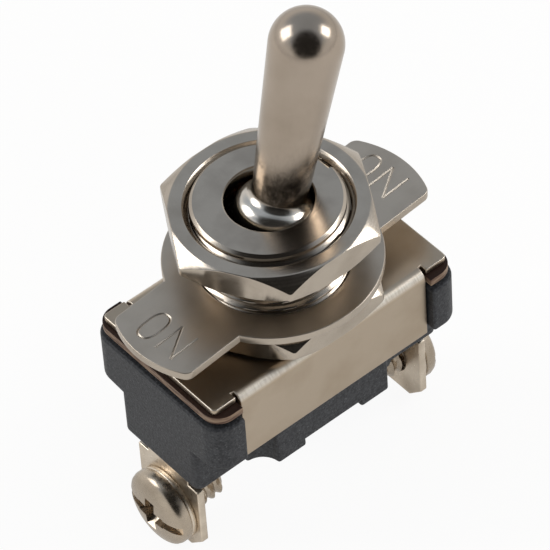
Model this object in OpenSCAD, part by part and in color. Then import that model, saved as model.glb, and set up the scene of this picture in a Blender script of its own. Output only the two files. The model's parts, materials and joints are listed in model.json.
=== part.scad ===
// Panel toggle switch, two maintained positions, single pole double throw.
// Frame: millimetres, the origin is on the bushing's axis at the top face of
// the steel bracket, +Z up the bushing, +X along the body towards the side
// that the lever leans to, +Y towards the side of the common terminal.

/* [Bracket] */
// Length of the bracket's top plate
bracket_l = 22.8; // [20:0.1:30]
// Width of the top plate at its two ends
bracket_w = 13; // [12.6:0.1:13.3]
// Thickness of the sheet
sheet_t = 0.55; // [0.4:0.05:0.6]
// Width over the outer faces of the side flanges
flange_w = 13.5; // [13.4:0.1:14]
// Length of each side flange
flange_l = 18.1; // [16:0.1:18.4]
// Depth of the flanges between the lugs, below the top plate
flange_depth = 6.7; // [5.5:0.1:6.9]
// Outer radius of the folds
fold_r = 0.85; // [0.7:0.05:1]

/* [Insulator] */
// Thickness of the insulator plate
insulator_t = 0.65; // [0.5:0.05:0.9]
// Distance of the insulator plate's edge in from the housing's
insulator_inset = 0.25; // [0.1:0.05:0.4]
// Gap between the insulator plate and the housing's rim
rim_gap = 0.45; // [0.1:0.05:0.6]

/* [Housing] */
// Length of the moulded housing
housing_l = 24; // [23.6:0.1:26]
// Width of the housing's ears, beyond the flanges
housing_w = 14.8; // [14.4:0.1:16]
// Radius of the ears' upright corners
ear_r = 1.8; // [0.8:0.1:2.6]
// Depth of the ears' underside below the top plate
ear_depth = 6.15; // [5.9:0.05:6.4]
// Distance of the narrow lower block's sides in from the wide block's
keel_inset = 1.7; // [1.6:0.05:1.9]
// Length of the wide middle block
core_l = 11; // [10.4:0.1:11.4]
// Depth of the housing's underside below the top plate
housing_depth = 10.55; // [10.2:0.05:11.5]
// Drop of the middle block's underside below the narrow block's
core_drop = 0.35; // [0.1:0.05:0.5]
// Length of the recess between the housing's feet
foot_gap = 5.5; // [4.4:0.1:6.5]
// Depth of that recess
foot_h = 0.65; // [0.3:0.05:0.8]

/* [Bushing] */
// Outer diameter of the bushing's thread
thread_d = 11.9; // [11:0.1:12.5]
// Height of the bushing above the bracket
bushing_h = 9.6; // [9:0.1:12]
// Radius of the bushing's mouth
mouth_r = 3.35; // [3.3:0.05:3.6]
// Depth of the keyway along the thread
keyway_depth = 0.6; // [0.4:0.1:0.8]
// Width of the keyway
keyway_w = 1.7; // [1:0.1:2.2]

/* [Nuts and indicator plate] */
// Width across flats of both nuts
nut_af = 15; // [14:0.1:16]
// Thickness of both nuts
nut_h = 2.4; // [1.8:0.1:2.6]
// Height of the face nut's underside above the bracket
face_nut_z = 6.7; // [6.2:0.1:7.1]
// Height of the backing nut's underside above the bracket
backing_nut_z = 0.3; // [0.05:0.05:0.6]
// Thickness of the indicator plate
plate_t = 0.75; // [0.5:0.05:1]
// Diameter of the indicator plate's middle disc
plate_d = 16.7; // [16:0.1:18]
// Width of the indicator plate's wings
wing_w = 8; // [6:0.1:9]
// Length of the indicator plate over its wings
plate_l = 27.1; // [25:0.1:30]
// Radius of the wings' curved ends
wing_end_r = 8; // [6:0.5:12]
// Turn of the indicator plate about the bushing
plate_turn = 4.1; // [-8:0.1:8]

/* [Lever] */
// Height of the lever's pivot above the bracket
pivot_z = 5.2; // [5:0.1:5.5]
// Tilt of the lever at each end of its throw
lever_tilt = 14.2; // [12:0.1:14.4]
// Distance from the pivot to the lever's tip
lever_l = 20.6; // [16:0.1:24]
// Radius of the bat handle's rounded tip
tip_r = 2.8; // [2.4:0.05:3]
// Radius of the handle where it leaves the ball
neck_r = 2.1; // [1.9:0.05:2.15]
// Radius of the pivot ball
ball_r = 3.2; // [3:0.05:3.25]
// Radius of the lower stem
stem_r = 1.9; // [1.7:0.05:1.95]
// Radius of the cross pin through the ball
pin_r = 0.75; // [0.5:0.05:0.9]

/* [Contacts] */
// Radius of the plunger that presses on the rocker
plunger_r = 1.15; // [1:0.05:1.2]
// Thickness of the contact rocker and of the terminals' sheet
strip_t = 0.65; // [0.5:0.05:0.7]
// Half length of the contact rocker
rocker_reach = 7.2; // [7.1:0.1:7.8]
// Distance of each contact from the rocker's pivot
contact_x = 6; // [5.8:0.1:6.2]
// Tilt of the rocker at each end of its throw
rocker_tilt = 8; // [7:0.5:8.5]

/* [Terminals] */
// Width of each terminal's tab
tab_w = 7.1; // [6.6:0.1:8]
// Width of the neck above the tab
tab_neck_w = 4.8; // [4:0.1:5]
// Depth of the tab's shoulders below the top plate
shoulder_depth = 12; // [11.9:0.1:12.5]
// Depth of the tab's lower edge below the top plate
tab_depth = 19.1; // [18.8:0.1:20]
// Chamfer at the tab's lower corners
tab_chamfer = 1.4; // [0.6:0.1:2]
// Distance from the housing's end face in to the tab's outer face
tab_inset = 0.55; // [0.3:0.05:0.7]

/* [Terminal screws] */
// Radius of the pan head
head_r = 3.2; // [3:0.05:3.5]
// Height of the head's straight rim
head_rim = 0.6; // [0.4:0.05:0.9]
// Height of the whole head
head_h = 1.65; // [1.4:0.05:2.2]
// Radius of the screw's thread
screw_r = 1.75; // [1.5:0.05:1.9]
// Length of the screw behind its washer
screw_l = 4.6; // [3.5:0.1:5]
// Depth of the screws' axes below the top plate
screw_depth = 15.8; // [15.5:0.1:16]
// Thickness of the washer under the head
washer_t = 0.45; // [0.3:0.05:0.8]

/* [Hidden] */

$fn = 64;
// Overshoot of a cutting shape past the face that it cuts
cut = 0.5;
// Play between pieces that slide or turn on each other
play = 0.05;
// Play between pieces that are held still in each other
snug = 0.02;

// Bracket
flange_y = flange_w / 2;
fold_y = flange_y - fold_r;
flange_in_y = flange_y - sheet_t;
flange_x = flange_l / 2;
lug_x0 = core_l / 2 + 7 * play;
lug_x1 = flange_x - 4 * play;
lug_w = 1.3;
lug_in_y = flange_in_y - lug_w;
lug_top_z = -ear_depth - play;
relief_w = 0.25;
end_corner_r = 0.4;

// Plates and moulding, from the top down
insulator_top_z = -sheet_t - play;
insulator_z = insulator_top_z - insulator_t;
housing_top_z = insulator_z - rim_gap;
housing_z = -housing_depth;
core_z = housing_z - core_drop;
body_side_y = flange_in_y - play;
keel_w = 2 * (body_side_y - keel_inset);
// The insulator plate clears the inside of the folds
insulator_side_y = fold_y - play;
keel_corner_r = 0.7;
core_corner_r = 0.35;
wall = 1.1;
floor_t = 1.4;
cavity_x = housing_l / 2 - 1.4;
cavity_y = keel_w / 2 - wall;
floor_z = housing_z + floor_t;

// Bushing
thread_r = thread_d / 2;
thread_chamfer = 0.25;
top_flat_r = 5.4;
spigot_r = thread_r - 1.15;
spigot_flare_r = spigot_r + 0.15;
spigot_flare_h = 0.35;
spigot_z = -sheet_t - spigot_flare_h;
stem_hole_r = spigot_flare_r + 2 * play;
// Flare inside the bushing's foot that lets the lower stem swing
foot_flare_r = 4.4;
foot_flare_h = 3.2;
pin_groove_w = 2 * (pin_r + play);
pin_reach = 4.4;

// Nuts and indicator plate
nut_corner_r = nut_af / sqrt(3);
nut_flat_r = nut_af / 2 + 0.07;
nut_round_r = nut_corner_r + 0.01;
nut_chamfer = 0.85;
nut_bore_r = thread_r + snug;
nut_sink_r = thread_r + 0.55;
plate_z = backing_nut_z + nut_h;
wing_corner_r = 0.8;

// Terminals: each leg stands behind its tab by less than the sheet
leg_step = 0.35;
end_tab_x = housing_l / 2 - tab_inset;
common_tab_y = body_side_y - tab_inset;
leg_w = 3.8;
arm_z = floor_z;
arm_top_z = arm_z + strip_t;
// Length of a terminal's arm past its contact
arm_lap = 1.5;
arm_end_x = contact_x - arm_lap;
// Distance of a tab's neck below the moulding above it
neck_gap = 0.1;

// Contacts: the rocker tips on the common terminal's upright
fixed_head_h = 0.55;
fixed_head_r = 1.3;
moving_head_h = 0.45;
moving_head_r = 1;
shank_r = 0.5;
rocker_under = 0.2;
fulcrum_r = strip_t / 2;
fixed_face_z = arm_top_z + fixed_head_h;
rocker_z = fixed_face_z + play
    + (contact_x + moving_head_r) * sin(rocker_tilt)
    + (moving_head_h - rocker_under) * cos(rocker_tilt);
rocker_top = rocker_under + strip_t;
rocker_w = 3.4;
fulcrum_w = rocker_w - 0.4;

// Plunger: held up by the depth that lets it pass the level rocker
plunger_reach = pivot_z - (rocker_z + rocker_top) - 0.1;
stem_end = 7.4;
spring_seat = 2.3;
bore_r = plunger_r + play;
plunger_top = 4.9;
plunger_bore_r = 0.8;
plunger_nose = 1.9;
plunger_bore_end = plunger_reach - plunger_nose;
spring_wire_r = 0.14;
spring_r = 0.58;
spring_turns = 9;

// Parts of the lever's own frame: its pivot at the origin, +Z to the tip
tip_z = lever_l - tip_r;
bat_start_z = 4.3;

// Terminal screws
head_dome = head_h - head_rim;
head_dome_r = (pow(head_r, 2) + pow(head_dome, 2)) / (2 * head_dome);
slot_w = 0.85;
slot_l = 2 * head_r - 1.1;
slot_deep = 0.65;
cross_l = 3.2;
cross_deep = 0.95;
washer_r = head_r - 0.05;

// A box given by its two corners
module span(from, to) {
    translate(from)
        cube(to - from);
}

// A flat rectangle about the origin with round corners
module round_rect(l, w, r) {
    union() {
        square([l - 2 * r, w], center = true);
        square([l, w - 2 * r], center = true);
        for (x = [-1, 1], y = [-1, 1])
            translate([x * (l / 2 - r), y * (w / 2 - r)])
                circle(r);
    }
}

// Puts its children at the lever's pivot, leaning at the rest position
module at_pivot() {
    translate([0, 0, pivot_z])
        rotate([0, lever_tilt, 0])
            children();
}

// Puts its children at the rocker's pivot, tipped at the rest position
module at_rocker() {
    translate([0, 0, rocker_z])
        rotate([0, -rocker_tilt, 0])
            children();
}

// Places a terminal's frame: +X outwards through its tab, origin below
// the bracket's centre. The ends stand on the long axis.
module at_terminal(side) {
    rotate([0, 0, side == "left" ? 180 : side == "common" ? 90 : 0])
        children();
}

// One side flange with its two lugs folded under the housing's ears
module flange() {
    translate([-flange_x, 0, 0])
        rotate([90, 0, 90])
            linear_extrude(flange_l)
                difference() {
                    union() {
                        translate([fold_y, -fold_r])
                            circle(fold_r);
                        translate([flange_in_y, -flange_depth])
                            square([sheet_t, flange_depth - fold_r]);
                    }
                    translate([fold_y, -fold_r])
                        circle(fold_r - sheet_t);
                    translate([flange_in_y - fold_r, -flange_depth])
                        square([fold_r, flange_depth - fold_r]);
                    translate([fold_y - 2 * fold_r, -2 * fold_r])
                        square([2 * fold_r, 2 * fold_r]);
                }
    for (side = [-1, 1]) {
        x0 = side > 0 ? lug_x0 : -lug_x1;
        span([x0, flange_in_y, lug_top_z - sheet_t / 2],
             [x0 + lug_x1 - lug_x0, flange_y, -flange_depth + cut]);
        span([x0, lug_in_y, lug_top_z - sheet_t],
             [x0 + lug_x1 - lug_x0, flange_in_y, lug_top_z]);
        translate([x0, flange_in_y, lug_top_z])
            intersection() {
                rotate([0, 90, 0])
                    cylinder(r = sheet_t, h = lug_x1 - lug_x0);
                span([0, 0, -sheet_t], [lug_x1 - lug_x0, sheet_t, 0]);
            }
    }
}

module bracket() {
    color("#b0a392")
        difference() {
            union() {
                translate([0, 0, -sheet_t])
                    linear_extrude(sheet_t)
                        union() {
                            difference() {
                                round_rect(bracket_l, bracket_w, end_corner_r);
                                for (side = [-1, 1])
                                    translate([0, side * (fold_y + bracket_w / 2)])
                                        square([flange_l + 2 * relief_w, bracket_w], center = true);
                            }
                            square([flange_l, 2 * fold_y], center = true);
                        }
                flange();
                mirror([0, 1, 0])
                    flange();
            }
            translate([0, 0, -sheet_t - cut])
                cylinder(r = spigot_r + snug, h = sheet_t + 2 * cut);
        }
}

module bushing() {
    color("#8f8a84")
        difference() {
            union() {
                cylinder(r = thread_r, h = bushing_h - thread_chamfer);
                translate([0, 0, bushing_h - thread_chamfer])
                    cylinder(r1 = thread_r, r2 = top_flat_r, h = thread_chamfer);
                translate([0, 0, -sheet_t])
                    cylinder(r = spigot_r, h = sheet_t);
                translate([0, 0, spigot_z])
                    cylinder(r = spigot_flare_r, h = spigot_flare_h);
            }
            translate([0, 0, spigot_z - cut])
                cylinder(r = mouth_r, h = bushing_h - spigot_z + 2 * cut);
            translate([0, 0, spigot_z - cut])
                cylinder(r1 = foot_flare_r, r2 = mouth_r, h = foot_flare_h);
            // Grooves in which the cross pin's ends sit
            for (side = [0, 180])
                rotate([0, 0, side])
                    union() {
                        span([-pin_groove_w / 2, 0, spigot_z - cut],
                             [pin_groove_w / 2, pin_reach + play, pivot_z]);
                        translate([0, 0, pivot_z])
                            rotate([-90, 0, 0])
                                cylinder(r = pin_groove_w / 2, h = pin_reach + play);
                    }
            span([thread_r - keyway_depth, -keyway_w / 2, -play],
                 [thread_r + cut, keyway_w / 2, bushing_h + cut]);
        }
}

// Hexagon nut with both faces chamfered and both ends of the bore sunk
module hex_nut(z, shade) {
    // Each sink starts a hair outside its face, on the same 45 degree cone
    sink = nut_sink_r - nut_bore_r + 0.01;
    color(shade)
        translate([0, 0, z])
            difference() {
                intersection() {
                    cylinder(r = nut_corner_r, h = nut_h, $fn = 6);
                    rotate_extrude()
                        polygon([
                            [0, 0],
                            [nut_flat_r, 0],
                            [nut_round_r, nut_chamfer],
                            [nut_round_r, nut_h - nut_chamfer],
                            [nut_flat_r, nut_h],
                            [0, nut_h]
                        ]);
                }
                translate([0, 0, -cut])
                    cylinder(r = nut_bore_r, h = nut_h + 2 * cut);
                translate([0, 0, nut_h + 0.01 - sink])
                    cylinder(r1 = nut_bore_r, r2 = nut_bore_r + sink, h = sink);
                translate([0, 0, -0.01])
                    cylinder(r1 = nut_bore_r + sink, r2 = nut_bore_r, h = sink);
            }
}

module face_nut() {
    hex_nut(face_nut_z, "#a8a29a");
}

module backing_nut() {
    hex_nut(backing_nut_z, "#a39a8e");
}

// Plan of one wing: its end is an arc that runs into two round corners
module wing_outline() {
    end_x = plate_l / 2 - wing_end_r;
    corner_y = wing_w / 2 - wing_corner_r;
    spread = asin(corner_y / (wing_end_r - wing_corner_r));
    corner_x = end_x + (wing_end_r - wing_corner_r) * cos(spread);
    union() {
        translate([0, -wing_w / 2])
            square([corner_x, wing_w]);
        for (y = [-corner_y, corner_y])
            translate([corner_x, y])
                circle(wing_corner_r);
        intersection() {
            translate([end_x, 0])
                circle(wing_end_r);
            polygon([
                [end_x, 0],
                [end_x + plate_l * cos(spread), plate_l * sin(spread)],
                [end_x + plate_l * cos(spread), -plate_l * sin(spread)]
            ]);
        }
    }
}

module indicator_plate() {
    color("#9a948c")
        translate([0, 0, plate_z])
            rotate([0, 0, plate_turn])
                linear_extrude(plate_t)
                    difference() {
                        union() {
                            circle(d = plate_d);
                            wing_outline();
                            mirror([1, 0])
                                wing_outline();
                        }
                        circle(nut_bore_r + snug);
                    }
}

module lever() {
    color("#a3978a")
        at_pivot()
            difference() {
                union() {
                    sphere(ball_r);
                    cylinder(r = neck_r, h = bat_start_z);
                    translate([0, 0, bat_start_z])
                        cylinder(r1 = neck_r, r2 = tip_r, h = tip_z - bat_start_z);
                    translate([0, 0, tip_z])
                        sphere(tip_r);
                    translate([0, 0, -stem_end])
                        cylinder(r = stem_r, h = stem_end);
                }
                translate([0, 0, -stem_end - cut])
                    cylinder(r = bore_r, h = stem_end - spring_seat + cut);
                rotate([90, 0, 0])
                    cylinder(r = pin_r + snug, h = 2 * (ball_r + cut), center = true);
            }
}

module pivot_pin() {
    color("#8c8c8c")
        at_pivot()
            rotate([90, 0, 0])
                cylinder(r = pin_r, h = 2 * pin_reach, center = true);
}

module insulator_plate() {
    color("#7a4f3e")
        translate([0, 0, insulator_z])
            linear_extrude(insulator_t)
                difference() {
                    ear_outline(insulator_inset, insulator_side_y);
                    circle(stem_hole_r);
                }
}

// Plan of the body's upper part, drawn in by an inset: ears proud of the
// flanges at both ends, and a waist between them
module ear_outline(inset, waist_y) {
    difference() {
        round_rect(housing_l - 2 * inset, housing_w - 2 * inset, ear_r - inset);
        for (side = [-1, 1])
            translate([0, side * (waist_y + housing_w / 2)])
                square([flange_l + 6 * play, housing_w], center = true);
    }
}

// Plan of the wide middle block with its concave joins to the narrow one
module core_outline() {
    reach = core_l / 2 + keel_inset;
    union() {
        round_rect(core_l, 2 * body_side_y, core_corner_r);
        difference() {
            square([2 * reach, 2 * body_side_y], center = true);
            for (x = [-1, 1], y = [-1, 1])
                translate([x * reach, y * body_side_y])
                    circle(keel_inset);
        }
    }
}

// Slot through the floor and pocket for one terminal's leg
module leg_slot(tab_face) {
    span([tab_face - leg_step - strip_t - snug, -leg_w / 2 - snug, core_z - cut],
         [tab_face - leg_step + snug, leg_w / 2 + snug, arm_top_z + 4 * play]);
}

module housing() {
    color("#4a4c50")
        difference() {
            union() {
                translate([0, 0, -ear_depth])
                    linear_extrude(housing_top_z + ear_depth)
                        ear_outline(0, body_side_y);
                translate([0, 0, housing_z])
                    linear_extrude(housing_top_z - housing_z)
                        round_rect(housing_l, keel_w, keel_corner_r);
                translate([0, 0, core_z])
                    linear_extrude(housing_top_z - core_z)
                        core_outline();
            }
            // Recess between the feet
            translate([0, 0, core_z])
                cube([foot_gap, housing_w, 2 * foot_h], center = true);
            // Cavity for the rocker and the plunger
            span([-cavity_x, -cavity_y, floor_z], [cavity_x, cavity_y, 0]);
            at_terminal("left")
                leg_slot(end_tab_x);
            at_terminal("right")
                leg_slot(end_tab_x);
            // The common leg drops in from above through a bay of its own
            at_terminal("common")
                union() {
                    leg_slot(common_tab_y);
                    span([0, -leg_w / 2 - snug, floor_z],
                         [common_tab_y - leg_step + snug, leg_w / 2 + snug, 0]);
                }
        }
}

// The flat part of a terminal outside the housing, its leg and its hole
module terminal_tab(tab_face, under_z) {
    leg_face = tab_face - leg_step;
    neck_z = under_z - neck_gap;
    difference() {
        union() {
            translate([tab_face - strip_t, 0, 0])
                rotate([90, 0, 90])
                    linear_extrude(strip_t)
                        polygon([
                            [-tab_neck_w / 2, neck_z],
                            [tab_neck_w / 2, neck_z],
                            [tab_neck_w / 2, -shoulder_depth],
                            [tab_w / 2, -shoulder_depth],
                            [tab_w / 2, -tab_depth + tab_chamfer],
                            [tab_w / 2 - tab_chamfer, -tab_depth],
                            [-tab_w / 2 + tab_chamfer, -tab_depth],
                            [-tab_w / 2, -tab_depth + tab_chamfer],
                            [-tab_w / 2, -shoulder_depth],
                            [-tab_neck_w / 2, -shoulder_depth]
                        ]);
            span([leg_face - strip_t, -leg_w / 2, -shoulder_depth],
                 [leg_face, leg_w / 2, arm_top_z]);
        }
        translate([0, 0, -screw_depth])
            rotate([0, 90, 0])
                cylinder(r = screw_r + snug, h = tab_face + cut);
    }
}

// Contact rivet: a round head on +Z and a shank below it
module rivet(head_radius, head_height, shank_length) {
    union() {
        cylinder(r = head_radius, h = head_height);
        translate([0, 0, -shank_length])
            cylinder(r = shank_r, h = shank_length);
    }
}

// End terminal: its arm on the cavity's floor carries a fixed contact
module end_terminal(side) {
    color("#c9bfae")
        at_terminal(side)
            difference() {
                union() {
                    terminal_tab(end_tab_x, housing_z);
                    span([arm_end_x, -leg_w / 2, arm_z],
                         [end_tab_x - leg_step, leg_w / 2, arm_top_z]);
                }
                translate([contact_x, 0, arm_z - cut])
                    cylinder(r = shank_r + snug / 2, h = strip_t + 2 * cut);
            }
}

module terminal_left() {
    end_terminal("left");
}

module terminal_right() {
    end_terminal("right");
}

// Common terminal: its strip crosses the floor to the rocker's fulcrum
module terminal_common() {
    color("#c9bfae")
        union() {
            at_terminal("common")
                union() {
                    terminal_tab(common_tab_y, core_z);
                    span([-fulcrum_w / 2, -leg_w / 2, arm_z],
                         [common_tab_y - leg_step, leg_w / 2, arm_top_z]);
                }
            span([-fulcrum_r, -fulcrum_w / 2, arm_top_z - strip_t / 2],
                 [fulcrum_r, fulcrum_w / 2, rocker_z]);
            translate([0, 0, rocker_z])
                rotate([90, 0, 0])
                    cylinder(r = fulcrum_r, h = fulcrum_w, center = true);
        }
}

module fixed_contact(side) {
    color("#d8c9a0")
        at_terminal(side)
            translate([contact_x, 0, arm_top_z])
                rivet(fixed_head_r, fixed_head_h, strip_t);
}

module fixed_contact_left() {
    fixed_contact("left");
}

module fixed_contact_right() {
    fixed_contact("right");
}

module contact_rocker() {
    color("#b87333")
        at_rocker()
            difference() {
                translate([-rocker_reach, -rocker_w / 2, rocker_under])
                    cube([2 * rocker_reach, rocker_w, strip_t]);
                rotate([90, 0, 0])
                    cylinder(r = fulcrum_r + play, h = rocker_w + 2 * cut, center = true);
                for (x = [-contact_x, contact_x])
                    translate([x, 0, 0])
                        cylinder(r = shank_r + snug / 2, h = rocker_top + cut);
            }
}

module rocker_contact(x) {
    color("#d8c9a0")
        at_rocker()
            translate([x, 0, rocker_under])
                mirror([0, 0, 1])
                    rivet(moving_head_r, moving_head_h, strip_t);
}

module rocker_contact_left() {
    rocker_contact(-contact_x);
}

module rocker_contact_right() {
    rocker_contact(contact_x);
}

module plunger() {
    color("#d9d2bd")
        at_pivot()
            difference() {
                union() {
                    translate([0, 0, plunger_r - plunger_reach])
                        sphere(plunger_r);
                    translate([0, 0, plunger_r - plunger_reach])
                        cylinder(r = plunger_r, h = plunger_reach - plunger_r - plunger_top);
                }
                translate([0, 0, -plunger_bore_end])
                    cylinder(r = plunger_bore_r, h = plunger_bore_end);
            }
}

module plunger_spring() {
    length = plunger_bore_end - spring_seat - 2 * spring_wire_r;
    color("#9a9a9a")
        at_pivot()
            translate([0, 0, spring_wire_r - plunger_bore_end])
                linear_extrude(length, twist = -360 * spring_turns, slices = 14 * spring_turns, $fn = 8)
                    translate([spring_r, 0])
                        circle(spring_wire_r);
}

module terminal_screw(side) {
    seat = (side == "common" ? common_tab_y : end_tab_x) + washer_t;
    color("#c9bfae")
        at_terminal(side)
            translate([seat, 0, -screw_depth])
                rotate([0, 90, 0])
                    difference() {
                        union() {
                            cylinder(r = head_r, h = head_rim);
                            intersection() {
                                translate([0, 0, head_h - head_dome_r])
                                    sphere(head_dome_r);
                                cylinder(r = head_r, h = head_h);
                            }
                            translate([0, 0, -screw_l])
                                cylinder(r = screw_r, h = screw_l);
                        }
                        // Combined slot and cross recess
                        translate([0, 0, head_h])
                            cube([slot_w, slot_l, 2 * slot_deep], center = true);
                        translate([0, 0, head_h])
                            cube([cross_l, slot_w, 2 * cross_deep], center = true);
                    }
}

module screw_left() {
    terminal_screw("left");
}

module screw_right() {
    terminal_screw("right");
}

module screw_common() {
    terminal_screw("common");
}

module washer(side) {
    seat = side == "common" ? common_tab_y : end_tab_x;
    color("#bdb3a2")
        at_terminal(side)
            translate([seat, 0, -screw_depth])
                rotate([0, 90, 0])
                    difference() {
                        cylinder(r = washer_r, h = washer_t);
                        translate([0, 0, -cut])
                            cylinder(r = screw_r + 2 * play, h = washer_t + 2 * cut);
                    }
}

module washer_left() {
    washer("left");
}

module washer_right() {
    washer("right");
}

module washer_common() {
    washer("common");
}

bracket();
bushing();
face_nut();
backing_nut();
indicator_plate();
lever();
pivot_pin();
insulator_plate();
housing();
plunger();
plunger_spring();
contact_rocker();
rocker_contact_left();
rocker_contact_right();
terminal_left();
terminal_right();
terminal_common();
fixed_contact_left();
fixed_contact_right();
screw_left();
screw_right();
screw_common();
washer_left();
washer_right();
washer_common();
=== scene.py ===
import json
import math

import bmesh
import bpy
from mathutils import Matrix, Vector


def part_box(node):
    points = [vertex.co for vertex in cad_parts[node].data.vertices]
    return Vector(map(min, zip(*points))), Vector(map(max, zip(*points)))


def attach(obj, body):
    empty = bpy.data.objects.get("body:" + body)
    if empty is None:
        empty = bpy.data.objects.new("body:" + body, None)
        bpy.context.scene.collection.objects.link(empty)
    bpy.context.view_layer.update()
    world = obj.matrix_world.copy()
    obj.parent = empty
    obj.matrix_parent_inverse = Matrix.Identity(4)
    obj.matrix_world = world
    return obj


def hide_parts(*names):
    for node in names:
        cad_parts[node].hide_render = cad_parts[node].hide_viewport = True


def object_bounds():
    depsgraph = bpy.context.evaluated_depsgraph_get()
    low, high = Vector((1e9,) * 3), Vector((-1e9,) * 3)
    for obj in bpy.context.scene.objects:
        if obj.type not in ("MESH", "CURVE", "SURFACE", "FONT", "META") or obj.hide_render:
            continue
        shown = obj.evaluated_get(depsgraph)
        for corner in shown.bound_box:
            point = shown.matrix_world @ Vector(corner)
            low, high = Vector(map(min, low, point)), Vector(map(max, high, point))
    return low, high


bl_info = {
    "name": "Panel Toggle Switch",
    "version": (1, 0, 0),
    "blender": (4, 5, 0),
    "location": "3D View > Sidebar > Switch",
    "description": "Builds the detailed pieces and the finishes of a panel toggle switch",
    "category": "Object",
}

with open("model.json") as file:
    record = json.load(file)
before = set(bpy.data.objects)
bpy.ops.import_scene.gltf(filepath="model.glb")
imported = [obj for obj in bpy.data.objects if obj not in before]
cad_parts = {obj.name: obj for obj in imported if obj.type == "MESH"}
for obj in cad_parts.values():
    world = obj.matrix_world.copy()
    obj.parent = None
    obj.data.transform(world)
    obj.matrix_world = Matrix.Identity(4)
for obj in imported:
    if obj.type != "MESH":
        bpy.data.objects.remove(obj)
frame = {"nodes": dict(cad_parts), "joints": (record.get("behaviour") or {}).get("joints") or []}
CAD_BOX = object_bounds()
MM = 0.001
PIVOT = Vector(next(j["pos_m"] for j in frame["joints"] if j["name"] == "lever_throw")) / MM


# Sizes and colours ---------------------------------------------------------


class SwitchSizes(bpy.types.PropertyGroup):
    """Sizes of the pieces, in the scene's metres and radians"""

    thread_pitch: bpy.props.FloatProperty(
        name="Thread pitch", description="Pitch of the bushing's thread",
        default=25.4 / 32 * MM, precision=5, unit="LENGTH")
    thread_depth: bpy.props.FloatProperty(
        name="Thread depth", description="Depth of the bushing's thread",
        default=0.44 * MM, precision=5, unit="LENGTH")
    mouth_radius: bpy.props.FloatProperty(
        name="Mouth", description="Radius of the bushing's mouth",
        default=3.35 * MM, precision=5, unit="LENGTH")
    across_flats: bpy.props.FloatProperty(
        name="Nut across flats", description="Width across the flats of both nuts",
        default=15 * MM, precision=5, unit="LENGTH")
    lever_tilt: bpy.props.FloatProperty(
        name="Lever tilt", description="Lean of the lever at rest",
        default=math.radians(14.2), subtype="ANGLE")
    lever_length: bpy.props.FloatProperty(
        name="Lever length", description="From the pivot to the lever's tip",
        default=20.6 * MM, precision=5, unit="LENGTH")
    tip_radius: bpy.props.FloatProperty(
        name="Lever tip", description="Radius of the bat's round tip",
        default=2.8 * MM, precision=5, unit="LENGTH")
    plate_turn: bpy.props.FloatProperty(
        name="Plate turn", description="Turn of the indicator plate about the bushing",
        default=math.radians(4.1), subtype="ANGLE")
    letter_height: bpy.props.FloatProperty(
        name="Letter height", description="Height of the stamped letters",
        default=2.8 * MM, precision=5, unit="LENGTH")
    edge_break: bpy.props.FloatProperty(
        name="Edge break", description="Radius left on the edges of the sheet parts",
        default=0.1 * MM, precision=5, unit="LENGTH")


class SwitchColours(bpy.types.PropertyGroup):
    """Colours of the finishes, as sRGB hex values"""

    nickel: bpy.props.StringProperty(
        name="Nickel", description="Nickel plate on the bracket", default="#B5A693")
    turned_nickel: bpy.props.StringProperty(
        name="Turned nickel", description="Nickel plate on the bushing, the nuts and the indicator plate",
        default="#B7AC9E")
    lever_nickel: bpy.props.StringProperty(
        name="Lever nickel", description="Tumbled nickel plate on the lever", default="#A99C8E")
    tinned: bpy.props.StringProperty(
        name="Tinned brass", description="Tin plate on the terminals", default="#DACDBB")
    screw: bpy.props.StringProperty(
        name="Screw nickel", description="Nickel plate on the terminal screws", default="#B5A897")
    tarnish: bpy.props.StringProperty(
        name="Tarnish", description="Warm haze in the bracket's plate", default="#A08E78")
    phenolic: bpy.props.StringProperty(
        name="Phenolic", description="Moulded phenolic of the housing", default="#38393C")
    laminate: bpy.props.StringProperty(
        name="Laminate", description="Face of the paper laminate", default="#21140F")
    laminate_edge: bpy.props.StringProperty(
        name="Laminate edge", description="Cut edge of the paper laminate", default="#8C7662")


# Meshes --------------------------------------------------------------------


def skin(name, rings, closed, flats):
    """Makes a piece from rings of points in millimetres; closed joins the last ring to the first"""
    bm = bmesh.new()
    rows = [[bm.verts.new(Vector(point) * MM) for point in ring] for ring in rings]
    for low, high in zip(rows, rows[1:] + (rows[:1] if closed else [])):
        for i in range(len(low)):
            j = (i + 1) % len(low)
            bm.faces.new((low[i], low[j], high[j], high[i]))
    return settle(name, bm, flats)


def smooth(bm, mesh, flats):
    """Welds and smooths a mesh, keeping corners sharper than flats degrees, and stores it"""
    bmesh.ops.remove_doubles(bm, verts=bm.verts, dist=0.001 * MM)
    bmesh.ops.recalc_face_normals(bm, faces=bm.faces)
    for face in bm.faces:
        face.smooth = True
    for edge in bm.edges:
        edge.smooth = len(edge.link_faces) == 2 and edge.calc_face_angle(0) < math.radians(flats)
    bm.to_mesh(mesh)
    bm.free()


def settle(name, bm, flats):
    """Turns a finished mesh into a piece whose flat faces stay flat under their eased edges"""
    mesh = bpy.data.meshes.new(name)
    smooth(bm, mesh, flats)
    piece = bpy.data.objects.new(name, mesh)
    bpy.context.scene.collection.objects.link(piece)
    even = piece.modifiers.new("face_weighted_normals", "WEIGHTED_NORMAL")
    even.keep_sharp = True
    return piece


def soften(points, radius, steps):
    """Rounds each corner of a closed outline of (r, z) points"""
    out = []
    for before, here, after in zip(points[-1:] + points[:-1], points, points[1:] + points[:1]):
        here, back, on = Vector(here), Vector(before) - Vector(here), Vector(after) - Vector(here)
        start = here + back.normalized() * min(radius, back.length / 2.1)
        end = here + on.normalized() * min(radius, on.length / 2.1)
        for k in range(steps + 1):
            t = k / steps
            out.append(start * (1 - t) ** 2 + here * 2 * t * (1 - t) + end * t ** 2)
    return out


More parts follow.
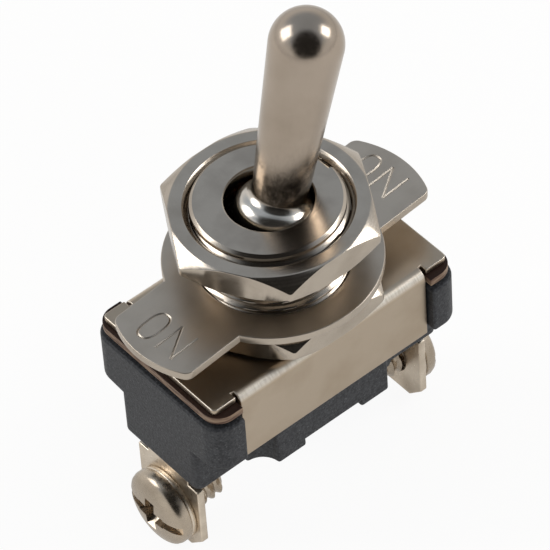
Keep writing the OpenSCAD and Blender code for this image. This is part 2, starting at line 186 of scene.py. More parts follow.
def around(count, *extra):
    """Angles of a full turn, with extra ones put in where an edge has to be sharp"""
    even = [2 * math.pi * k / count for k in range(count)]
    return sorted(set(even + [angle % (2 * math.pi) for angle in extra]))


def turned(name, angles, profile, flats, closed=True):
    """Sweeps a profile of (r, z) points, which may change with the angle, round the Z axis; closed
    joins its last point to its first"""
    columns = [profile(angle) for angle in angles]
    rings = [[(column[k][0] * math.cos(angle), column[k][0] * math.sin(angle), column[k][1])
              for angle, column in zip(angles, columns)] for k in range(len(columns[0]))]
    return skin(name, rings, closed, flats)


def stand_in(piece, matrix, body, slot, *nodes):
    """Puts a piece in its place, hands it to its body and hides the solids it replaces; its slot is not used
    """
    piece.data.transform(matrix)
    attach(piece, body)
    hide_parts(*nodes)
    return piece


def place(x=0, y=0, z=0):
    """Moves by millimetres"""
    return Matrix.Translation(Vector((x, y, z)) * MM)


def eased(node, name, body, slot, radius):
    """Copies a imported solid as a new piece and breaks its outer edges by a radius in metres"""
    dull = math.radians(28)
    bm = bmesh.new()
    bm.from_mesh(frame["nodes"][node].data)
    bmesh.ops.remove_doubles(bm, verts=bm.verts, dist=0.002 * MM)
    bmesh.ops.dissolve_limit(bm, angle_limit=math.radians(0.6), verts=bm.verts, edges=bm.edges)
    edges = [e for e in bm.edges if len(e.link_faces) == 2 and e.is_convex
             and e.calc_face_angle(0) > dull]
    bmesh.ops.bevel(bm, geom=edges, offset=radius, segments=3, profile=0.5,
                    affect="EDGES", clamp_overlap=False)
    return stand_in(settle(name, bm, 40), Matrix(), body, slot, node)


def cutter(bm):
    """Makes a passing object of a closed mesh, to cut a piece with"""
    bmesh.ops.recalc_face_normals(bm, faces=bm.faces)
    mesh = bpy.data.meshes.new("cutter")
    bm.to_mesh(mesh)
    bm.free()
    tool = bpy.data.objects.new("cutter", mesh)
    bpy.context.scene.collection.objects.link(tool)
    return tool


def wedge(*corners):
    """Convex cutter with each (x, y, z) corner, in millimetres, mirrored to all four quarters"""
    bm = bmesh.new()
    for x, y, z in corners:
        for x_side, y_side in ((1, 1), (1, -1), (-1, 1), (-1, -1)):
            bm.verts.new(Vector((x * x_side, y * y_side, z)) * MM)
    bmesh.ops.convex_hull(bm, input=bm.verts)
    return cutter(bm)


def carve(piece, tool, flats):
    """Takes a cutter out of a piece, and the cutter away"""
    even = piece.modifiers["face_weighted_normals"]
    cut = piece.modifiers.new("carve", "BOOLEAN")
    cut.object, cut.operation, cut.solver = tool, "DIFFERENCE", "EXACT"
    even.show_viewport = False
    carved = bpy.data.meshes.new_from_object(piece.evaluated_get(bpy.context.evaluated_depsgraph_get()))
    even.show_viewport = True
    piece.modifiers.remove(cut)
    piece.data = carved
    bpy.data.objects.remove(tool)
    bm = bmesh.new()
    bm.from_mesh(carved)
    smooth(bm, carved, flats)
    carved.name = piece.name


def letter_groove(path, closed, height, half_width, depth):
    """Cutter of a V-shaped stroke that follows a path of (x, y) points in millimetres"""
    bm = bmesh.new()
    count = len(path)
    section = ((-2 * half_width, height + depth), (0, height - depth), (2 * half_width, height + depth))
    rows = []
    for i, here in enumerate(path):
        here = Vector(here)
        back = Vector(path[i - 1]) if closed or i else None
        on = Vector(path[(i + 1) % count]) if closed or i < count - 1 else None
        first = (here - back).normalized() if back is not None else (on - here).normalized()
        second = (on - here).normalized() if on is not None else first
        side = Vector((-(first + second).y, (first + second).x)).normalized()
        stretch = 1 / max(0.5, math.sqrt((1 + first.dot(second)) / 2))
        rows.append([bm.verts.new(Vector((*(here + side * across * stretch), up)) * MM)
                     for across, up in section])
    for i in range(count if closed else count - 1):
        low, high = rows[i], rows[(i + 1) % count]
        for k in range(3):
            bm.faces.new((low[k], low[(k + 1) % 3], high[(k + 1) % 3], high[k]))
    if not closed:
        bm.faces.new(rows[0])
        bm.faces.new(reversed(rows[-1]))
    return cutter(bm)


# Materials -----------------------------------------------------------------

# A mix node's colour sockets share their names with its other sockets, so they go by number
AMOUNT, FIRST, SECOND, MIXED = 0, 6, 7, 2


def linear(hex_colour):
    """Turns an sRGB hex value into linear RGBA"""
    channels = [int(hex_colour[i:i + 2], 16) / 255 for i in (1, 3, 5)]
    return [c / 12.92 if c <= 0.04045 else ((c + 0.055) / 1.055) ** 2.4 for c in channels] + [1]


def add(tree, kind, inputs=(), **settings):
    """Adds a node, sets it up and links or fills its sockets"""
    made = tree.nodes.new(kind)
    for key, value in settings.items():
        setattr(made, key, value)
    for socket, value in dict(inputs).items():
        if isinstance(value, bpy.types.NodeSocket):
            tree.links.new(value, made.inputs[socket])
        else:
            made.inputs[socket].default_value = value
    return made


def surface(name):
    """An empty node material with its shader and output, and the object's own coordinates"""
    material = bpy.data.materials.new(name)
    material.use_nodes = True
    tree = material.node_tree
    tree.nodes.clear()
    shader = add(tree, "ShaderNodeBsdfPrincipled")
    add(tree, "ShaderNodeOutputMaterial", {"Surface": shader.outputs[0]})
    where = add(tree, "ShaderNodeTexCoord").outputs["Object"]
    return material, tree, shader, where


def plated(name, colour, haze, roughness, spread, grain, grain_depth, rings=False, cloud=2.5):
    """Nickel or tin plate on metal: grain gives its (x, y, z) texture sizes in millimetres, rings
    turns the grain round the Z axis as a lathe leaves it, and cloud is the size of its haze"""
    material, tree, shader, where = surface(name)
    along = where
    if rings:
        split = add(tree, "ShaderNodeSeparateXYZ", {"Vector": where})
        flat = add(tree, "ShaderNodeCombineXYZ", {"X": split.outputs["X"], "Y": split.outputs["Y"]})
        reach = add(tree, "ShaderNodeVectorMath", {0: flat.outputs[0]}, operation="LENGTH")
        along = add(tree, "ShaderNodeCombineXYZ",
                    {"X": reach.outputs["Value"], "Z": split.outputs["Z"]}).outputs[0]
    # The tools' real marks are a few hundredths of a millimetre wide, too fine to show, so the grain is
    # drawn as coarse as it needs to be
    fine = add(tree, "ShaderNodeMapping", {"Vector": along, "Scale": [1 / (size * MM) for size in grain]})
    lines = add(tree, "ShaderNodeTexNoise", {"Vector": fine.outputs[0], "Scale": 1, "Detail": 3})
    mist = add(tree, "ShaderNodeTexNoise", {"Vector": where, "Scale": 1 / (cloud * MM), "Detail": 4})
    share = add(tree, "ShaderNodeMapRange",
                {"Value": mist.outputs[0], "From Min": 0.42, "From Max": 0.75, "To Min": 0, "To Max": 0.6})
    tone = add(tree, "ShaderNodeMix",
               {AMOUNT: share.outputs[0], FIRST: linear(colour), SECOND: linear(haze)}, data_type="RGBA")
    rough = add(tree, "ShaderNodeMapRange",
                {"Value": lines.outputs[0], "From Min": 0.3, "From Max": 0.7,
                 "To Min": roughness - spread, "To Max": roughness + spread})
    bump = add(tree, "ShaderNodeBump", {"Height": lines.outputs[0], "Distance": grain_depth * MM,
                                        "Strength": 0.6})
    shader.inputs["Metallic"].default_value = 1
    tree.links.new(tone.outputs[MIXED], shader.inputs["Base Color"])
    tree.links.new(rough.outputs[0], shader.inputs["Roughness"])
    tree.links.new(bump.outputs[0], shader.inputs["Normal"])
    return material


def phenolic(name, colour):
    """Phenolic moulding compound, with wood flour as its filler"""
    material, tree, shader, where = surface(name)
    # Real wood flour is under 0.2 mm, too fine to show, so it is drawn as coarse as it needs to be
    flour = add(tree, "ShaderNodeTexNoise", {"Vector": where, "Scale": 1 / (0.24 * MM), "Detail": 5,
                                             "Roughness": 0.7})
    specks = add(tree, "ShaderNodeTexVoronoi", {"Vector": where, "Scale": 1 / (0.32 * MM)})
    bright = add(tree, "ShaderNodeMapRange",
                 {"Value": specks.outputs["Distance"], "From Min": 0.08, "From Max": 0.26,
                  "To Min": 0.42, "To Max": 0})
    flow = add(tree, "ShaderNodeMapRange",
               {"Value": flour.outputs[0], "From Min": 0.4, "From Max": 0.6, "To Min": 0, "To Max": 1})
    base = add(tree, "ShaderNodeMix",
               {AMOUNT: flow.outputs[0], FIRST: linear("#1E1F22"), SECOND: linear(colour)}, data_type="RGBA")
    tone = add(tree, "ShaderNodeMix",
               {AMOUNT: bright.outputs[0], FIRST: base.outputs[MIXED], SECOND: linear("#66686A")},
               data_type="RGBA")
    bump = add(tree, "ShaderNodeBump", {"Height": flour.outputs[0], "Distance": 0.05 * MM, "Strength": 0.9})
    shader.inputs["Roughness"].default_value = 0.52
    shader.inputs["Specular IOR Level"].default_value = 0.3
    tree.links.new(tone.outputs[MIXED], shader.inputs["Base Color"])
    tree.links.new(bump.outputs[0], shader.inputs["Normal"])
    return material


def laminate(name, face, edge):
    """Punched paper laminate, with fibres in its face and layers in its cut edge"""
    material, tree, shader, where = surface(name)
    normal = add(tree, "ShaderNodeNewGeometry").outputs["Normal"]
    up = add(tree, "ShaderNodeSeparateXYZ", {"Vector": normal})
    facing = add(tree, "ShaderNodeMath", {0: up.outputs["Z"]}, operation="ABSOLUTE")
    flat = add(tree, "ShaderNodeMapRange", {"Value": facing.outputs[0], "From Min": 0.4, "From Max": 0.8})
    # Real layers are about 0.1 mm thick, and are drawn a little coarser so that they show
    layers = add(tree, "ShaderNodeMapping",
                 {"Vector": where, "Scale": [1 / (size * MM) for size in (1.5, 1.5, 0.16)]})
    paper = add(tree, "ShaderNodeTexNoise", {"Vector": layers.outputs[0], "Scale": 1, "Detail": 4})
    fibre = add(tree, "ShaderNodeTexNoise", {"Vector": where, "Scale": 1 / (0.4 * MM), "Detail": 5})
    stripes = add(tree, "ShaderNodeMapRange", {"Value": paper.outputs[0], "From Min": 0.35, "From Max": 0.65})
    cut_edge = add(tree, "ShaderNodeMix",
                   {AMOUNT: stripes.outputs[0], FIRST: linear("#4A3329"), SECOND: linear(edge)},
                   data_type="RGBA")
    brown = add(tree, "ShaderNodeMix",
                {AMOUNT: fibre.outputs[0], FIRST: linear("#2E1C15"), SECOND: linear(face)},
                data_type="RGBA")
    tone = add(tree, "ShaderNodeMix",
               {AMOUNT: flat.outputs[0], FIRST: cut_edge.outputs[MIXED], SECOND: brown.outputs[MIXED]},
               data_type="RGBA")
    bump = add(tree, "ShaderNodeBump", {"Height": paper.outputs[0], "Distance": 0.02 * MM, "Strength": 0.5})
    shader.inputs["Roughness"].default_value = 0.5
    shader.inputs["Specular IOR Level"].default_value = 0.2
    tree.links.new(tone.outputs[MIXED], shader.inputs["Base Color"])
    tree.links.new(bump.outputs[0], shader.inputs["Normal"])
    return material


def dress(piece, material):
    """Gives a piece its one material"""
    piece.data.materials.clear()
    piece.data.materials.append(material)


def dress_solid(node, material):
    """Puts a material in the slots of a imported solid"""
    for slot in frame["nodes"][node].material_slots:
        slot.material = material


# Pieces --------------------------------------------------------------------


class SWITCH_OT_bushing(bpy.types.Operator):
    """Turns the threaded bushing with its keyway, chamfers and bored mouth"""

    bl_idname = "switch.bushing"
    bl_label = "Bushing"

    def execute(self, context):
        sizes, colours = context.scene.switch_sizes, context.scene.switch_colours
        low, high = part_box("bushing")
        crest = high.y / MM
        top, bottom = high.z / MM, low.z / MM
        pitch, depth, mouth = sizes.thread_pitch / MM, sizes.thread_depth / MM, sizes.mouth_radius / MM
        key_flat, key_half, seat = crest - 0.6, 0.85, 4.85
        chamfer, lip_round, neck, flange, root = 0.2, 0.18, 4.8, 4.95, 5.6
        key_angle = math.asin(key_half / crest)
        rows = [0.05 + (top - 0.5) * k / 150 for k in range(151)]

        def thread(angle, z):
            # The thread fades in and out at its ends, and the keyway cuts it flat
            phase = (z / pitch - angle / (2 * math.pi)) % 1
            wave = min(1, 1.25 * abs(2 * phase - 1))
            fade = min(1, max(0, z / 0.4)) * min(1, max(0, (top - z) / 0.6))
            radius = crest - depth * (1 - wave) * fade
            swing = (angle + math.pi) % (2 * math.pi) - math.pi
            if abs(swing) <= key_angle + 1e-6:
                radius = min(radius, key_flat / math.cos(swing))
            return radius

        def profile(angle):
            outer = [(thread(angle, z), z) for z in rows]
            lip = min(outer[-1][0], crest) - chamfer
            head = [(lip + 0.17, top - 0.22), (lip, top - 0.05), (lip - 0.06, top)]
            head += [(mouth + lip_round * (1 - math.sin(t)), top - lip_round * (1 - math.cos(t)))
                     for t in [math.pi / 2 * k / 6 for k in range(7)]]
            # The bore is a round seat that the lever's shoulder turns in
            first = math.asin(mouth / seat)
            bore = [(seat * math.sin(t), PIVOT.z + seat * math.cos(t))
                    for t in [first + (math.pi / 2 - first) * k / 8 for k in range(9)]]
            bore += [(seat, 1.8), (4.24, bottom)]
            foot = [(4.9, bottom), (flange, bottom + 0.05), (flange, -0.55), (neck, -0.55)]
            foot += [(neck, 0), (root, 0)]
            return outer + head + bore + foot

        angles = around(144, key_angle - 1e-4, key_angle + 1e-4, -key_angle - 1e-4, -key_angle + 1e-4)
        piece = turned("threaded_bushing", angles, profile, flats=35)
        stand_in(piece, Matrix(), "base", "bushing_metal", "bushing")
        # Nickel on turned brass: bright, with the lathe's fine rings
        dress(piece, plated("turned_nickel_plate", colours.turned_nickel, "#91867A", 0.19, 0.05,
                            (0.09, 1, 0.2), 0.004, rings=True))
        return {"FINISHED"}


class SWITCH_OT_nuts(bpy.types.Operator):
    """Cuts both hexagon nuts from bar, faced and chamfered"""

    bl_idname = "switch.nuts"
    bl_label = "Nuts"

    def execute(self, context):
        sizes, colours = context.scene.switch_sizes, context.scene.switch_colours
        half = sizes.across_flats / MM / 2
        corner = half / math.cos(math.pi / 6)
        bore, bore_edge, chamfer = 6.0, 6.45, 0.5
        # Nickel on machined brass: bright, with the lathe's rings on its faces and lines on its flats
        bright = plated("machined_nickel_plate", colours.turned_nickel, "#998E80", 0.21, 0.06,
                        (0.1, 1, 0.5), 0.006, rings=True)
        for node, name in (("face_nut", "face_hex_nut"), ("backing_nut", "backing_hex_nut")):
            low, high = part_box(node)
            height = (high.z - low.z) / MM

            def profile(angle):
                swing = angle % (math.pi / 3) - math.pi / 6
                reach = min(half / math.cos(swing), corner - 0.06)
                drop = max(0.06, (reach - half) * 0.78)
                inner = half - 0.08
                outline = [(bore, chamfer), (bore_edge, 0), (inner, 0), (reach, drop), (reach, height - drop),
                           (inner, height), (bore_edge, height), (bore, height - chamfer)]
                return soften(outline, 0.07, 2)

            corners = [math.radians(60 * k + d) for k in range(6) for d in (-1.2, -0.6, 0.6, 1.2)]
            piece = turned(name, around(180, *corners), profile, flats=25)
            stand_in(piece, place(z=low.z / MM), "base", "nut_metal", node)
            dress(piece, bright)
        return {"FINISHED"}


class SWITCH_OT_lever(bpy.types.Operator):
    """Turns the bat lever with its ball and lower stem"""

    bl_idname = "switch.lever"
    bl_label = "Lever"

    def execute(self, context):
        sizes, colours = context.scene.switch_sizes, context.scene.switch_colours
        tip, length = sizes.tip_radius / MM, sizes.lever_length / MM
        neck, ball, shoulder, centre = 2.1, 3.2, 4.7, length - tip
        taper_end, stem, hollow, hollow_top, foot = 4.3, 1.9, 1.2, -2.3, -7.4
        outline = [(0, length)]
        outline += [(tip * math.sin(math.radians(a)), centre + tip * math.cos(math.radians(a)))
                    for a in range(6, 91, 6)]
        outline += [(tip + (neck - tip) * t / 8, centre + (taper_end - centre) * t / 8) for t in range(1, 8)]
        # A small fillet, then a shoulder domed about the pivot, so it clears the mouth as it turns
        outline += [(neck, 4.5), (neck + 0.06, 4.32), (neck + 0.2, 4.18)]
        outline += [(r, math.sqrt(shoulder ** 2 - r ** 2)) for r in (2.4, 2.5, 2.6, 2.7, 2.8)]
        outline += [(2.95, 3.6), (3.08, 3.42), (3.17, 3.2), (ball, 2.95)]
        outline += [(ball * math.sin(math.radians(a)), ball * math.cos(math.radians(a)))
                    for a in range(90, 140, 6)]
        outline += [(stem, -2.7), (stem, foot + 0.1), (stem - 0.08, foot), (hollow + 0.05, foot)]
        outline += [(hollow, foot + 0.05), (hollow, hollow_top), (0, hollow_top)]
        piece = turned("bat_lever", around(72), lambda angle: outline, closed=False, flats=40)
        lean = place(*PIVOT) @ Matrix.Rotation(sizes.lever_tilt, 4, "Y")
        stand_in(piece, lean, "handle", "lever_metal", "lever")
        # Tumbled nickel on brass: soft satin sheen with faint pits
        material = plated("tumbled_nickel_plate", colours.lever_nickel, "#8F8272", 0.22, 0.04,
                          (0.16, 0.16, 0.5), 0.003, cloud=5)
        # Painted reflection: the lever's foot is darkened in smudges near the pivot, standing in for the dark
        # mouth of the bushing reflected in it
        tree = material.node_tree
        shader = next(n for n in tree.nodes if n.type == "BSDF_PRINCIPLED")
        where = add(tree, "ShaderNodeTexCoord").outputs["Object"]
        reach = add(tree, "ShaderNodeVectorMath", {0: where, 1: PIVOT * MM}, operation="DISTANCE")
        painted_shade_smudge = add(tree, "ShaderNodeTexNoise", {"Vector": where, "Scale": 1 / (1.1 * MM), "Detail": 5,
                                                  "Roughness": 0.65})
        spread = add(tree, "ShaderNodeMapRange",
                     {"Value": painted_shade_smudge.outputs[0], "From Min": 0.35, "From Max": 0.65,
                      "To Min": -1.8 * MM, "To Max": 1.8 * MM})
        edge = add(tree, "ShaderNodeMath", {0: reach.outputs["Value"], 1: spread.outputs[0]}, operation="ADD")
        low = add(tree, "ShaderNodeMapRange",
                  {"Value": edge.outputs[0], "From Min": 5.3 * MM, "From Max": 7.4 * MM,
                   "To Min": 0.7, "To Max": 0})
        high = add(tree, "ShaderNodeMapRange",
                   {"Value": reach.outputs["Value"], "From Min": (shoulder + 0.05) * MM,
                    "From Max": (shoulder + 0.3) * MM})
        share = add(tree, "ShaderNodeMath", {0: low.outputs[0], 1: high.outputs[0]}, operation="MULTIPLY")
        plate = shader.inputs["Base Color"].links[0].from_socket
        # Painted highlight: the shoulder is paler, standing in for the bright lamp highlights on it
        bright = add(tree, "ShaderNodeMix",
                     {AMOUNT: high.outputs[0], FIRST: linear("#D0C9BE"), SECOND: plate}, data_type="RGBA")
        # Painted reflection: the dark tone laid on the foot near the pivot
        tone = add(tree, "ShaderNodeMix",
                   {AMOUNT: share.outputs[0], FIRST: bright.outputs[MIXED], SECOND: linear("#3F382E")},
                   data_type="RGBA")
        tree.links.new(tone.outputs[MIXED], shader.inputs["Base Color"])
        dress(piece, material)
        return {"FINISHED"}


class SWITCH_OT_indicator(bpy.types.Operator):
    """Punches the indicator plate and stamps its letters"""

    bl_idname = "switch.indicator"
    bl_label = "Indicator plate"

    def execute(self, context):
        sizes, colours = context.scene.switch_sizes, context.scene.switch_colours
        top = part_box("indicator_plate")[1].z / MM
        piece = eased("indicator_plate", "stamped_plate", "base", "plate_steel", sizes.edge_break)
        tall = sizes.letter_height / MM / 2
        turn = Matrix.Rotation(sizes.plate_turn, 2)
        half_stroke, stroke_depth = 0.1, 0.058
        round_middle, round_half, squareness, round_points = 1.28, 0.72, 0.75, 28
        first_stem, second_stem = -0.3, -1.95
        # The word reads across the wings, so the letters' height runs along X
        for centre in (-10.95, 11):
            ring = []
            for k in range(round_points):
                a = 2 * math.pi * k / round_points
                ring.append((centre + tall * math.copysign(abs(math.cos(a)) ** squareness, math.cos(a)),
                             round_middle + round_half * math.copysign(abs(math.sin(a)) ** squareness,
                                                                       math.sin(a))))
            strokes = [(ring, True)]
            strokes += [([(centre - tall, y), (centre + tall, y)], False) for y in (first_stem, second_stem)]
            strokes += [([(centre + tall, first_stem), (centre - tall, second_stem)], False)]
            for path, closed in strokes:
                groove = letter_groove([turn @ Vector(p) for p in path], closed, top, half_stroke,
                                       stroke_depth)
                carve(piece, groove, 25)
        # Nickel on rolled steel strip: flat satin with the rolling's faint lines
        dress(piece, plated("rolled_nickel_plate", colours.turned_nickel, "#A3988A", 0.37, 0.05,
                            (1.5, 0.1, 0.5), 0.002))
        return {"FINISHED"}


class SWITCH_OT_bracket(bpy.types.Operator):
    """Folds the bracket, its edges eased as the press leaves them"""

    bl_idname = "switch.bracket"
    bl_label = "Bracket"

    def execute(self, context):
        sizes, colours = context.scene.switch_sizes, context.scene.switch_colours
        piece = eased("bracket", "folded_bracket", "base", "bracket_steel", sizes.edge_break)
        # Nickel on pressed steel: smooth warm satin, slightly clouded
        material = plated("pressed_nickel_plate", colours.nickel, colours.tarnish, 0.31, 0.03,
                          (0.3, 0.3, 0.3), 0.0015, cloud=4)
        # Bending rubs the folds against the die, so they are duller there in streaks across them; their paler
        # tone is a painted highlight, the bright band along the folds
        tree = material.node_tree
        shader = next(n for n in tree.nodes if n.type == "BSDF_PRINCIPLED")
        normal = add(tree, "ShaderNodeNewGeometry").outputs["True Normal"]
        up = add(tree, "ShaderNodeSeparateXYZ", {"Vector": normal})
        tilt = add(tree, "ShaderNodeMath", {0: up.outputs["Z"], 1: 0.62}, operation="SUBTRACT")
        off = add(tree, "ShaderNodeMath", {0: tilt.outputs[0]}, operation="ABSOLUTE")
        fold_wear_and_highlight = add(tree, "ShaderNodeMapRange",
                   {"Value": off.outputs[0], "From Min": 0.1, "From Max": 0.34, "To Min": 1, "To Max": 0})
        where = add(tree, "ShaderNodeTexCoord").outputs["Object"]
        across = add(tree, "ShaderNodeMapping",
                     {"Vector": where, "Scale": [1 / (size * MM) for size in (0.12, 1.2, 1.2)]})
        rubbed = add(tree, "ShaderNodeTexNoise", {"Vector": across.outputs[0], "Scale": 1, "Detail": 3})
        streaks = add(tree, "ShaderNodeMapRange",
                      {"Value": rubbed.outputs[0], "From Min": 0.35, "From Max": 0.6,
                       "To Min": 0.5, "To Max": 0.9})
        share = add(tree, "ShaderNodeMath", {0: fold_wear_and_highlight.outputs[0], 1: streaks.outputs[0]}, operation="MULTIPLY")
        old_tone = shader.inputs["Base Color"].links[0].from_socket
        old_rough = shader.inputs["Roughness"].links[0].from_socket
        # Painted highlight: the paler tone on the folds
        tone = add(tree, "ShaderNodeMix",
                   {AMOUNT: share.outputs[0], FIRST: old_tone, SECOND: linear("#E6DFD3")}, data_type="RGBA")
        rough = add(tree, "ShaderNodeMix", {"Factor": share.outputs[0], "A": old_rough, "B": 0.5})
        tree.links.new(tone.outputs[MIXED], shader.inputs["Base Color"])
        tree.links.new(rough.outputs[0], shader.inputs["Roughness"])
        dress(piece, material)
        return {"FINISHED"}


class SWITCH_OT_body(bpy.types.Operator):
    """Moulds the housing and punches the insulator plate"""

    bl_idname = "switch.body"
    bl_label = "Housing and insulator"

    def execute(self, context):
        colours = context.scene.switch_colours
        # Phenolic moulding compound: dull slate black with the filler's paler specks
        housing = eased("housing", "moulded_housing", "base", "housing_phenolic", 0.22 * MM)
        dress(housing, phenolic("moulded_phenolic", colours.phenolic))
        # Punched paper laminate: a brown resin face and a paler cut edge that shows its layers
        plate = eased("insulator_plate", "punched_insulator", "base", "insulator_paper", 0.05 * MM)
        dress(plate, laminate("punched_paper_laminate", colours.laminate, colours.laminate_edge))
        return {"FINISHED"}


class SWITCH_OT_terminals(bpy.types.Operator):
    """Blanks the three terminals, and heads and threads their screws"""

    bl_idname = "switch.terminals"
    bl_label = "Terminals and screws"

    def execute(self, context):
        sizes, colours = context.scene.switch_sizes, context.scene.switch_colours
        # Tin plate on brass: pale and soft, a little scuffed
        tinned = plated("tinned_brass", colours.tinned, "#9A8A75", 0.33, 0.08, (0.3, 0.3, 0.3), 0.006)
        # Nickel on headed steel: greyer than the terminals, soft from the forming die
        headed = plated("headed_nickel_plate", colours.screw, "#8D8070", 0.27, 0.06, (0.4, 0.4, 0.4), 0.004)
        for side, turn in (("left", math.pi), ("right", 0), ("common", math.pi / 2)):
            blade = eased("terminal_" + side, "blade_" + side, "base", "terminal_metal", sizes.edge_break)
            washer = eased("washer_" + side, "collar_" + side, "base", "terminal_metal", 0.12 * MM)
            low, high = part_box("washer_" + side)
            out = Matrix.Rotation(turn, 4, "Z") @ Vector((1, 0, 0))
            face = (low + high) / 2 + out * ((high - low).dot(Vector(map(abs, out))) / 2)
            screw = self.screw("terminal_screw_" + side)
            swing = Matrix.Rotation(turn, 4, "Z") @ Matrix.Rotation(math.pi / 2, 4, "Y")
            stand_in(screw, Matrix.Translation(face) @ swing, "base", "screw_steel", "screw_" + side)
            dress(blade, tinned)
            dress(washer, tinned)
            dress(screw, headed)
        return {"FINISHED"}

    def screw(self, name):
        """One pan-head screw about Z, its head on +Z, with a slot and cross recess and a rolled thread"""
        head, rim, height, core, length, pitch = 3.2, 0.6, 1.65, 1.75, 4.6, 0.79

        def dome(radius):
            return rim + (height - rim) * math.sqrt(max(0, 1 - (radius / head) ** 2.6))

        def profile(angle):
            points = [(0, dome(0))] + [(head * k / 32, dome(head * k / 32)) for k in range(1, 33)]
            points += [(head, 0.08), (head - 0.08, 0), (core, 0)]
            for k in range(1, 50):
                z = -length * k / 50
                phase = (z / pitch - angle / (2 * math.pi)) % 1
                fade = min(1, (length + z) / 0.5)
                points.append((core - 0.32 * min(1, 1.6 * abs(2 * phase - 1)) - 0.3 * (1 - fade), z))
            return points + [(core - 0.75, -length), (0, -length)]

        screw = turned(name, around(120), profile, closed=False, flats=45)
        # The straight slot, then the two tapered arms of the cross
        carve(screw, wedge((0.42, 3.4, 2), (0.36, 3.4, 0.9)), 35)
        carve(screw, wedge((1.75, 0.56, 2), (0.5, 0.4, 0.3)), 35)
        carve(screw, wedge((0.56, 1.75, 2), (0.4, 0.5, 0.3)), 35)
        return screw


class SWITCH_OT_insides(bpy.types.Operator):
    """Finishes the parts inside the housing and the bushing"""

    bl_idname = "switch.insides"
    bl_label = "Inside parts"

    def execute(self, context):
        # Rolled copper strip: warm, brushed along its length
        copper = plated("rolled_copper", "#C98A62", "#A0603C", 0.3, 0.06, (1.2, 0.1, 0.4), 0.004)
        # Headed silver: dull white
        silver = plated("headed_silver", "#DAD6CB", "#B5AD9C", 0.32, 0.06, (0.2, 0.2, 0.2), 0.004)
        # Drawn steel wire and pin: grey, with lengthwise marks
        steel = plated("drawn_steel", "#A7A7A5", "#86837D", 0.28, 0.06, (0.08, 0.6, 0.08), 0.003)
        # Turned nylon rod: creamy, faintly mottled
        nylon, tree, shader, where = surface("turned_nylon")
        mottle = add(tree, "ShaderNodeTexNoise", {"Vector": where, "Scale": 1 / (0.6 * MM), "Detail": 3})
        tone = add(tree, "ShaderNodeMix",
                   {AMOUNT: mottle.outputs[0], FIRST: linear("#CDC5AE"), SECOND: linear("#E2DCC8")},
                   data_type="RGBA")
        tree.links.new(tone.outputs[MIXED], shader.inputs["Base Color"])
        shader.inputs["Roughness"].default_value = 0.42
        shader.inputs["IOR"].default_value = 1.53
        dress_solid("contact_rocker", copper)
        for side in ("left", "right"):
            dress_solid("rocker_contact_" + side, silver)
            dress_solid("fixed_contact_" + side, silver)
        dress_solid("pivot_pin", steel)
        dress_solid("plunger_spring", steel)
        dress_solid("plunger", nylon)
        return {"FINISHED"}


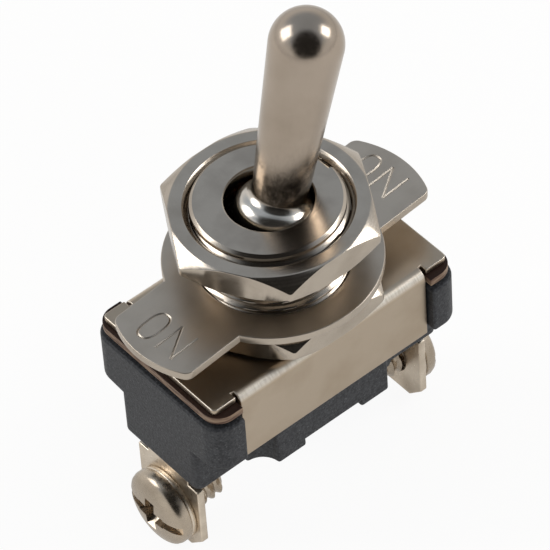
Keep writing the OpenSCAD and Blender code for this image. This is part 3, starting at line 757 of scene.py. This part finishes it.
class SWITCH_OT_stage(bpy.types.Operator):
    """Lays the floor and sets the lamps, the world and the camera"""

    bl_idname = "switch.stage"
    bl_label = "Stage"

    def execute(self, context):
        scene = context.scene
        self.floor(scene)
        self.room(scene)
        self.lamp("left_softbox", (-0.24, 0.27, 0.27), 0.24, 0.75)
        self.lamp("right_softbox", (0.32, -0.18, 0.26), 0.18, 0.65)
        # The front lamp only fills the matt parts, so it leaves no glint in the plating
        self.lamp("front_softbox", (-0.05, -0.42, 0.2), 0.24, 0.4).visible_glossy = False
        self.camera(scene)
        scene.view_settings.view_transform = "Standard"
        return {"FINISHED"}

    def floor(self, scene):
        """Lays a white sweep just under the switch"""
        low = CAD_BOX[0].z - 0.05 * MM
        bm = bmesh.new()
        bmesh.ops.create_grid(bm, x_segments=8, y_segments=8, size=3)
        bm.transform(Matrix.Translation((0, 0, low)))
        mesh = bpy.data.meshes.new("floor")
        bm.to_mesh(mesh)
        bm.free()
        floor = bpy.data.objects.new("floor", mesh)
        scene.collection.objects.link(floor)
        # Uncoated white paper: matt, its fibres drawn far coarser than real ones, which would not show
        paper, tree, shader, where = surface("uncoated_white_paper")
        fibres = add(tree, "ShaderNodeTexNoise", {"Vector": where, "Scale": 1 / (1.2 * MM), "Detail": 4})
        tone = add(tree, "ShaderNodeMix",
                   {AMOUNT: fibres.outputs[0], FIRST: linear("#F0EFEC"), SECOND: linear("#F4F3F1")},
                   data_type="RGBA")
        tree.links.new(tone.outputs[MIXED], shader.inputs["Base Color"])
        shader.inputs["Roughness"].default_value = 0.9
        shader.inputs["Specular IOR Level"].default_value = 0.1
        white = add(tree, "ShaderNodeEmission", {"Color": (1, 1, 1, 1), "Strength": 1})
        path = add(tree, "ShaderNodeLightPath")
        # The camera sees mostly its even glow, and every other ray mostly the paper itself
        share = add(tree, "ShaderNodeMapRange",
                    {"Value": path.outputs["Is Camera Ray"], "To Min": 0.3, "To Max": 0.92})
        mix = add(tree, "ShaderNodeMixShader",
                  {0: share.outputs[0], 1: shader.outputs[0], 2: white.outputs[0]})
        out = next(n for n in tree.nodes if n.type == "OUTPUT_MATERIAL")
        tree.links.new(mix.outputs[0], out.inputs[0])
        dress(floor, paper)

    def room(self, scene):
        """White walls, a blue-grey ceiling and the dark room in front, which only reflections show"""
        world = bpy.data.worlds.new("studio")
        scene.world = world
        world.use_nodes = True
        tree = world.node_tree
        tree.nodes.clear()
        way = add(tree, "ShaderNodeTexCoord").outputs["Generated"]
        height = add(tree, "ShaderNodeSeparateXYZ", {"Vector": way})
        rise = add(tree, "ShaderNodeMapRange",
                   {"Value": height.outputs["Z"], "From Min": 0.28, "From Max": 0.6})
        wall, ceiling, dark_room = (0.86, 0.86, 0.86, 1), (0.46, 0.52, 0.6, 1), (0.02, 0.02, 0.02, 1)
        shell = add(tree, "ShaderNodeMix",
                    {AMOUNT: rise.outputs[0], FIRST: wall, SECOND: ceiling}, data_type="RGBA")
        front = (-0.461, -0.612, 0.643)
        away = add(tree, "ShaderNodeVectorMath", {0: way, 1: front}, operation="DISTANCE")
        dark = add(tree, "ShaderNodeMapRange",
                   {"Value": away.outputs["Value"], "From Min": 0.66, "From Max": 0.86,
                    "To Min": 1, "To Max": 0})
        seen = add(tree, "ShaderNodeMix",
                   {AMOUNT: dark.outputs[0], FIRST: shell.outputs[MIXED], SECOND: dark_room},
                   data_type="RGBA")
        walls = add(tree, "ShaderNodeBackground", {"Color": seen.outputs[MIXED], "Strength": 1})
        light = add(tree, "ShaderNodeBackground", {"Color": (1, 1, 1, 1), "Strength": 0.5})
        backdrop = add(tree, "ShaderNodeBackground", {"Color": (1, 1, 1, 1), "Strength": 1})
        path = add(tree, "ShaderNodeLightPath")
        shine = add(tree, "ShaderNodeMath", {0: path.outputs["Is Glossy Ray"],
                                             1: path.outputs["Is Transmission Ray"]}, operation="MAXIMUM")
        lit = add(tree, "ShaderNodeMixShader",
                  {0: shine.outputs[0], 1: light.outputs[0], 2: walls.outputs[0]})
        shown = add(tree, "ShaderNodeMixShader",
                    {0: path.outputs["Is Camera Ray"], 1: lit.outputs[0], 2: backdrop.outputs[0]})
        add(tree, "ShaderNodeOutputWorld", {"Surface": shown.outputs[0]})

    def camera(self, scene):
        """Looks down on the switch from its front left"""
        camera = bpy.data.cameras.new("studio_camera")
        camera.lens, camera.sensor_width = 297.3, 36
        camera.clip_start, camera.clip_end = 0.01, 20
        eye = bpy.data.objects.new("studio_camera", camera)
        scene.collection.objects.link(eye)
        look = Vector((0.40805, 0.53671, -0.73854))
        aim = Vector((0.38, 0.43, 0.52)) * MM
        distance, roll = 339.5, math.radians(-4.16)
        turn = look.to_track_quat("-Z", "Y").to_matrix().to_4x4() @ Matrix.Rotation(roll, 4, "Z")
        eye.matrix_world = Matrix.Translation(aim - look * distance * MM) @ turn
        scene.camera = eye

    def lamp(self, name, where, size, watts):
        """Adds one soft square lamp aimed at the switch"""
        light = bpy.data.lights.new(name, "AREA")
        light.size, light.energy = size, watts
        lamp = bpy.data.objects.new(name, light)
        bpy.context.scene.collection.objects.link(lamp)
        lamp.location = where
        lamp.rotation_mode = "QUATERNION"
        lamp.rotation_quaternion = (-Vector(where)).to_track_quat("-Z", "Y")
        return lamp


STEPS = (SWITCH_OT_bushing, SWITCH_OT_nuts, SWITCH_OT_lever, SWITCH_OT_indicator, SWITCH_OT_bracket,
         SWITCH_OT_body, SWITCH_OT_terminals, SWITCH_OT_insides, SWITCH_OT_stage)


class SWITCH_PT_panel(bpy.types.Panel):
    """Lists the sizes, the colours and the steps"""

    bl_idname = "SWITCH_PT_panel"
    bl_label = "Panel Toggle Switch"
    bl_space_type = "VIEW_3D"
    bl_region_type = "UI"
    bl_category = "Switch"

    def draw(self, context):
        for group in (context.scene.switch_sizes, context.scene.switch_colours):
            for key in group.__annotations__:
                self.layout.prop(group, key)
        for step in STEPS:
            self.layout.operator(step.bl_idname)


CLASSES = (SwitchSizes, SwitchColours, *STEPS, SWITCH_PT_panel)


def register():
    for item in CLASSES:
        bpy.utils.register_class(item)
    bpy.types.Scene.switch_sizes = bpy.props.PointerProperty(type=SwitchSizes)
    bpy.types.Scene.switch_colours = bpy.props.PointerProperty(type=SwitchColours)


def unregister():
    del bpy.types.Scene.switch_colours
    del bpy.types.Scene.switch_sizes
    for item in reversed(CLASSES):
        bpy.utils.unregister_class(item)


def main():
    register()
    for step in STEPS:
        group, name = step.bl_idname.split(".")
        getattr(getattr(bpy.ops, group), name)()


if __name__ == "__main__":
    main()
